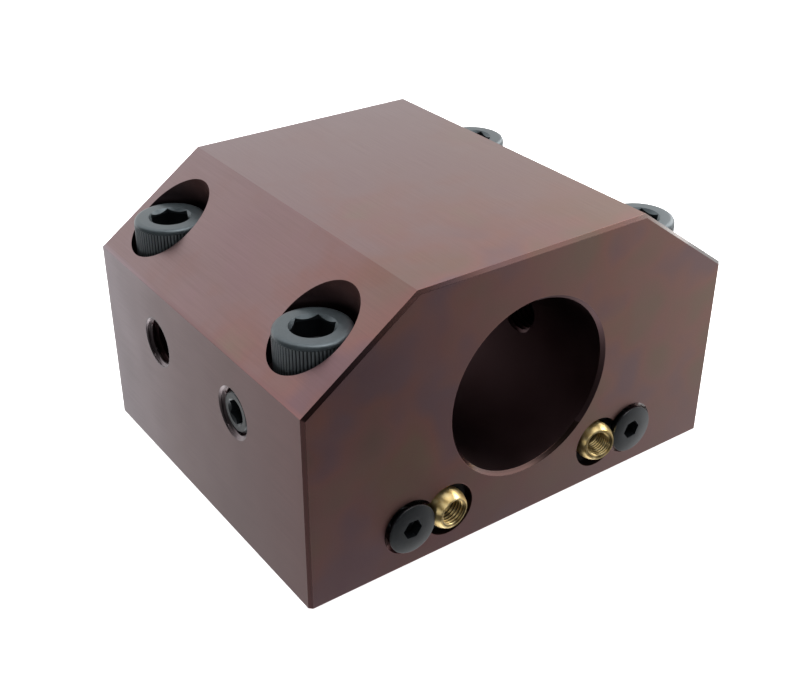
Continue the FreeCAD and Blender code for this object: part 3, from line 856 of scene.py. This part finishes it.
# %% Cap screws
HEAD_RADIUS, HEAD_HEIGHT = 8.0, 10.0
KNURL_RIDGES, KNURL_DEPTH = 68, 0.28
KNURL_BOTTOM, KNURL_FADE = 0.2, 0.3
SHANK_RADIUS, SHANK_LENGTH, SHANK_PITCH = 5.0, 40.0, 1.5
M10_ROOT_DEPTH = 0.92
PLAIN_SHANK, UNDER_SEAT, TIP_CHAMFER = 8.0, 0.4, 1.2


def cap_screw(name):
    """M10 socket head cap screw, its origin at the underside of the head."""
    profile = [(0, -0.5)] + eased([
        (SHANK_RADIUS, -0.5), (SHANK_RADIUS, 0.0), (HEAD_RADIUS - 0.35, 0.0), (HEAD_RADIUS, 0.35),
        (HEAD_RADIUS, HEAD_HEIGHT - 0.9), (HEAD_RADIUS - 0.27, HEAD_HEIGHT - 0.27),
        (HEAD_RADIUS - 0.9, HEAD_HEIGHT), (0, HEAD_HEIGHT)], 0.3)
    head = turned(name, profile, KNURL_RIDGES * 6, knurl)
    return cut_hexagon(head, across_flats=8.0, depth=5.0, top=HEAD_HEIGHT)


def knurl(angle, radius, height):
    """Groove between ridges on the head's side; it fades out at the bottom and the top."""
    if radius < HEAD_RADIUS - 0.3:
        return 0.0
    ridge = abs(math.sin(angle * KNURL_RIDGES / 2))
    fade_at_top = min(1.0, max(0.0, (KNURL_TOP + KNURL_FADE - height) / KNURL_FADE))
    fade_at_bottom = min(1.0, max(0.0, (height - KNURL_BOTTOM) / KNURL_FADE))
    return -KNURL_DEPTH * (1 - ridge) * (fade_at_top * fade_at_bottom)


def threaded_shank(name):
    """Rod under the head, plain near it and then threaded, with a chamfered tip."""
    profile = [(0, -SHANK_LENGTH)]
    for height in heights_between(-SHANK_LENGTH, -PLAIN_SHANK, SHANK_PITCH / 10):
        reach = SHANK_RADIUS - TIP_CHAMFER + height + SHANK_LENGTH
        profile.append((min(SHANK_RADIUS, reach), height))
    profile += [(SHANK_RADIUS, -UNDER_SEAT), (0, -UNDER_SEAT)]
    thread = screw_thread(SHANK_RADIUS, M10_ROOT_DEPTH, SHANK_PITCH, -PLAIN_SHANK)
    return turned(name, profile, 48, thread)


MOUNT_KEY_ANGLES = {"front_left": 45, "rear_left": 11, "front_right": 37, "rear_right": 22}
seat_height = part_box("mount_screw_front_left")[1].z - HEAD_HEIGHT * MM
for corner, key_angle in MOUNT_KEY_ANGLES.items():
    node = f"mount_screw_{corner}"
    low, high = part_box(node)
    place_at = Matrix.Translation(((low.x + high.x) / 2, (low.y + high.y) / 2, seat_height))
    head = cap_screw(f"cap_screw_head_{corner}")
    head.matrix_world = place_at @ Matrix.Rotation(math.radians(key_angle), 4, "Z")
    dress(head, CAP_SCREW_STEEL, "holder", "black_screw_steel", node)
    shank = threaded_shank(f"cap_screw_shank_{corner}")
    shank.matrix_world = place_at
    dress(shank, CAP_SCREW_STEEL, "holder", "black_screw_steel", node)

# %% [markdown]
# ## Set screws
#
# The bar clamp screws have no head: they are a threaded rod with a hexagon socket in one end and
# a cup point at the other, which bites the bar's flat. The gallery plug is a smaller one.

# %% Set screws
def set_screw(name, radius, root_depth, pitch, length, end_chamfer, cup_radius, key, key_depth):
    """Set screw whose outer end is at height 0 and whose cup point is at -length."""
    profile = [(0, -length + cup_radius * 0.45), (cup_radius, -length)]
    for height in heights_between(-length, 0, pitch / 12)[1:-1]:
        from_point = height + length
        reach = min(radius, cup_radius + from_point, radius - end_chamfer - height)
        profile.append((reach, height))
    profile += [(radius - end_chamfer, 0), (0, 0)]
    thread = screw_thread(radius, root_depth, pitch, 0, -length, runs_out=False)
    return cut_hexagon(turned(name, profile, 56, thread), key, key_depth, 0)


def aim_outward(node, direction):
    """Matrix that puts a set screw's outer end and axis where the CAD node has them."""
    low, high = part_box(node)
    centre = (low + high) / 2
    outer = centre + Vector(direction) * ((high - low) @ Vector([abs(c) for c in direction])) / 2
    return Matrix.Translation(outer) @ pointing(direction)


CLAMP_KEY_ANGLES = {"front_left": 1, "rear_left": 20, "front_right": 14, "rear_right": 3}
for corner, key_angle in CLAMP_KEY_ANGLES.items():
    node = f"bar_clamp_screw_{corner}"
    side = (-1, 0, 0) if corner.endswith("left") else (1, 0, 0)
    screw = set_screw(f"set_screw_{corner}", radius=5.0, root_depth=M10_ROOT_DEPTH,
                      pitch=CLAMP_PITCH, length=25.0, end_chamfer=0.9, cup_radius=2.8, key=5.0,
                      key_depth=4.5)
    screw.matrix_world = aim_outward(node, side) @ Matrix.Rotation(math.radians(key_angle), 4, "Z")
    dress(screw, TURNED_SCREW_STEEL, f"bar_clamp_{corner}", "grey_screw_steel", node)

plug = set_screw("gallery_set_screw", radius=3.0, root_depth=0.6, pitch=1.0, length=6.0,
                 end_chamfer=0.5, cup_radius=2.2, key=3.0, key_depth=2.5)
plug.matrix_world = aim_outward("gallery_plug", (1, 0, 0))
dress(plug, TURNED_SCREW_STEEL, "holder", "grey_screw_steel", "gallery_plug")

# %% [markdown]
# ## Flat head screws
#
# Each ball is held by the rim of a countersunk screw beside it. The screw doesn't reach the
# bottom of its countersink: its rim presses on the ball first, so the head stands a little
# proud of the face.

# %% Flat head screws
LOCK_HEAD_RADIUS, LOCK_RIM, LOCK_LENGTH = 5.65, 0.5, 16.0


def flat_head_screw(name):
    """M6 countersunk screw with the top of its head at height 0."""
    shank_radius, pitch, root_depth = 3.0, 1.0, 0.61
    cone_bottom = -LOCK_RIM - (LOCK_HEAD_RADIUS - shank_radius)
    profile = [(0, -LOCK_LENGTH)]
    for height in heights_between(-LOCK_LENGTH, cone_bottom, pitch / 10):
        profile.append((min(shank_radius, shank_radius - 0.5 + height + LOCK_LENGTH), height))
    rim = eased([(shank_radius, cone_bottom), (LOCK_HEAD_RADIUS, -LOCK_RIM),
                 (LOCK_HEAD_RADIUS, 0), (0, 0)], 0.16)
    thread = screw_thread(shank_radius, root_depth, pitch, cone_bottom)
    head = turned(name, profile + rim[1:], 96, thread)
    return cut_hexagon(head, across_flats=4.0, depth=2.4, top=0, lead=0)


LOCK_KEY_ANGLES = {"left": 55, "right": 7}
for hand, key_angle in LOCK_KEY_ANGLES.items():
    node = f"nozzle_screw_{hand}"
    screw = flat_head_screw(f"flat_head_screw_{hand}")
    key_turn = Matrix.Rotation(math.radians(key_angle), 4, "Z")
    screw.matrix_world = aim_outward(node, (0, -1, 0)) @ key_turn
    dress(screw, FLAT_HEAD_STEEL, f"nozzle_lock_{hand}", "grey_screw_steel", node)

# %% [markdown]
# ## Brass balls
#
# A ball is turned with a flat nose, drilled through and tapped M6 with a fine pitch. Its profile
# is one closed loop: up the sphere, across the flat, down the mouth's chamfer and back through
# the thread. The thread's roots go outward from its crests and fade out before the rear. It is
# drawn a little wide, so that its turns show. The balls also go into a collection of their own,
# for the lamps that shine on them alone.

# %% Brass balls
BALL_RADIUS, BALL_NOSE = 4.5, 2.7
BALL_BORE, BALL_MOUTH, BALL_MOUTH_DEPTH = 2.7, 3.35, 0.3
BALL_PITCH, BALL_GROOVE = 0.75, 0.5
REAR_PLAIN = 0.5
SPHERE_ROWS = 32


def coolant_ball(name):
    """Threaded ball round the origin with its nose towards +Z."""
    rear_angle = math.asin(BALL_BORE / BALL_RADIUS)
    nose_angle = math.pi - math.acos(BALL_NOSE / BALL_RADIUS)
    profile = []
    for step in range(SPHERE_ROWS + 1):
        angle = rear_angle + (nose_angle - rear_angle) * step / SPHERE_ROWS
        profile.append((BALL_RADIUS * math.sin(angle), -BALL_RADIUS * math.cos(angle)))
    flat_radius = BALL_RADIUS * math.sin(nose_angle)
    profile = profile[:-1] + eased([profile[-2], (flat_radius, BALL_NOSE), (BALL_MOUTH, BALL_NOSE),
                                    (BALL_MOUTH - 0.1, BALL_NOSE - 0.06)], 0.1)[1:-1]
    rear = -BALL_RADIUS * math.cos(rear_angle)
    flare = (BALL_MOUTH - BALL_BORE) / BALL_MOUTH_DEPTH
    inner = [(BALL_BORE + max(0.0, height - BALL_NOSE + BALL_MOUTH_DEPTH) * flare, height)
             for height in heights_between(rear, BALL_NOSE - 0.12, BALL_PITCH / 14)]
    profile += inner[::-1][:-1]

    def ripple(angle, radius, height):
        if radius > BALL_MOUTH or height > BALL_NOSE - 0.11 or height < rear + 0.02:
            return 0.0
        run_out = min(1.0, max(0.0, (height - rear - REAR_PLAIN) / BALL_PITCH))
        wanted = BALL_BORE + BALL_GROOVE * run_out * (1 - thread_depth(angle, height, BALL_PITCH))
        return max(0.0, wanted - radius)

    return turned(name, profile, 80, ripple, ring_shaped=True)


NOZZLE_AIM = {"left": (4.5, -2.0), "right": (-13.5, 6.5)}
brass_pieces = bpy.data.collections.new("brass_pieces")
for hand, (yaw, pitch) in NOZZLE_AIM.items():
    joint = next(entry for entry in frame["joints"] if entry["name"] == f"nozzle_{hand}_swivel")
    yaw, pitch = math.radians(yaw), math.radians(pitch)
    nose = Vector((math.sin(yaw) * math.cos(pitch), -math.cos(yaw) * math.cos(pitch),
                   math.sin(pitch)))
    ball = coolant_ball(f"coolant_ball_{hand}")
    ball.matrix_world = Matrix.Translation(joint["pos_m"]) @ pointing(nose)
    dress(ball, BRASS, f"nozzle_{hand}", "nozzle_brass", f"nozzle_ball_{hand}")
    brass_pieces.objects.link(ball)

# %% [markdown]
# ## Seals
#
# The rubber seats behind the balls and the ring in the base have their true shape in the CAD
# solid, so they keep it and only get their material.

# %% Seals
for node in ("nozzle_seat_left", "nozzle_seat_right", "inlet_seal"):
    nodes[node].data.materials.clear()
    nodes[node].data.materials.append(RUBBER)
print("seals dressed")

# %% [markdown]
# ## Stage and light
#
# The object stands on white paper that is lit from below, as on a light table, so only a faint
# shadow is left where the block touches it. The paper is hidden from mirror-like rays: the
# block's front is meant to reflect the dim side of the room, and not a glowing sheet.

# %% Floor
floor_mesh = bmesh.new()
bmesh.ops.create_grid(floor_mesh, x_segments=1, y_segments=1, size=3.0)
floor = finished("floor", floor_mesh)
floor.location.z = -0.02 * MM
paper = new_material("back_lit_white_paper")[0]
floor.data.materials.append(surfaced(paper, Base_Color="#f4f4f4", Roughness=0.9,
                                     Emission_Color="#ffffff", Emission_Strength=0.8))
floor.visible_glossy = False

# %% [markdown]
# Metals show what they reflect, so the room matters more than the lamps. It is a soft gradient:
# bright on the right and at the rear, dim at the front left, where the camera stands. A second
# one is the light from the table. Both were read off the block, because each of its faces
# mirrors one direction of the room.

# %% Room light
BRIGHT_SIDE = Vector((0.75, 0.60, 0.25))
# Brightness from away from the bright side, at -1, to straight at it, at 1
WALL_LIGHT = [(-1.0, 0.09), (-0.8, 0.06), (-0.66, 0.02), (-0.45, 0.02), (-0.16, 0.06),
              (-0.06, 0.18), (0.04, 0.40), (0.08, 0.44), (0.12, 0.78), (0.42, 0.80),
              (0.7, 0.72), (1.0, 0.66)]
# Brightness from straight down, at -1, to straight up, at 1
TABLE_LIGHT = [(-1.0, 2.2), (-0.88, 1.2), (-0.76, 0.16), (-0.66, 0.06), (-0.55, 0.03),
               (-0.2, 0.0), (1.0, 0.0)]

world = bpy.data.worlds.new("white_room")
bpy.context.scene.world = world
world.use_nodes = True
world.node_tree.nodes.clear()
add = functools.partial(add_node, world.node_tree)


def glow(amount, table):
    """Grey level looked up in a table of (amount, level) pairs, for amounts from -1 to 1."""
    stops = [((at + 1) / 2, grey(level)) for at, level in table]
    return add(RAMP, {"stops": stops}, Fac=add(RANGE, Value=amount, From_Min=-1.0, From_Max=1.0))


facing = add("ShaderNodeTexCoord", output="Generated")
toward = add(VECTOR_MATH, {"operation": "DOT_PRODUCT"}, "Value", _0=facing, _1=BRIGHT_SIDE)
height = add(SPLIT, output="Z", Vector=facing)
sky = add(MIX, {**COLOURS, "blend_type": "ADD"}, MIXED, _0=1.0,
          _6=glow(toward, WALL_LIGHT), _7=glow(height, TABLE_LIGHT))
room = add("ShaderNodeBackground", Color=sky, Strength=1.0)
add("ShaderNodeOutputWorld", Surface=room)
print(f"{len(WALL_LIGHT)} wall levels and {len(TABLE_LIGHT)} table levels")

# %% [markdown]
# Softboxes at the right and high in front add the soft shine on the screws and the top. An
# overhead one, which no mirror-like ray can see, only lifts the shadows. The brass wants more
# light, which would glare on the block's chamfers, so three lamps are linked to the balls alone.

# %% Lamps
LAMP_TARGET = Vector((0, 0, 0.03))


def softbox(name, location, size, watts):
    """Square area light of a size that faces the middle of the block."""
    data = bpy.data.lights.new(name, "AREA")
    data.shape = "RECTANGLE"
    data.size = data.size_y = size
    data.energy = watts
    lamp = bpy.data.objects.new(name, data)
    lamp.location = location
    lamp.rotation_euler = (LAMP_TARGET - Vector(location)).to_track_quat("-Z", "Y").to_euler()
    bpy.context.scene.collection.objects.link(lamp)
    return lamp


softbox("right_softbox", (0.86, 0.14, 0.5), 0.7, 2.6)
softbox("front_softbox", (0.1, -0.2, 0.95), 0.6, 1.8)
brass_lamps = [softbox("brass_key", (0.76, -0.33, 0.58), 0.36, 4.6),
               softbox("brass_fill", (-0.4, -0.8, 0.6), 0.7, 2.4),
               softbox("brass_side", (-0.88, -0.25, 0.08), 0.4, 0.8)]
for lamp in brass_lamps:
    lamp.light_linking.receiver_collection = brass_pieces
overhead = softbox("overhead_softbox", (0.0, 0.0, 0.9), 1.4, 14.0)
overhead.visible_glossy = False
bpy.context.scene.view_settings.view_transform = "Standard"
print(f"{len(brass_lamps)} of {len(bpy.data.lights)} lamps shine on the balls alone")

# %% Finish
bpy.context.view_layer.update()
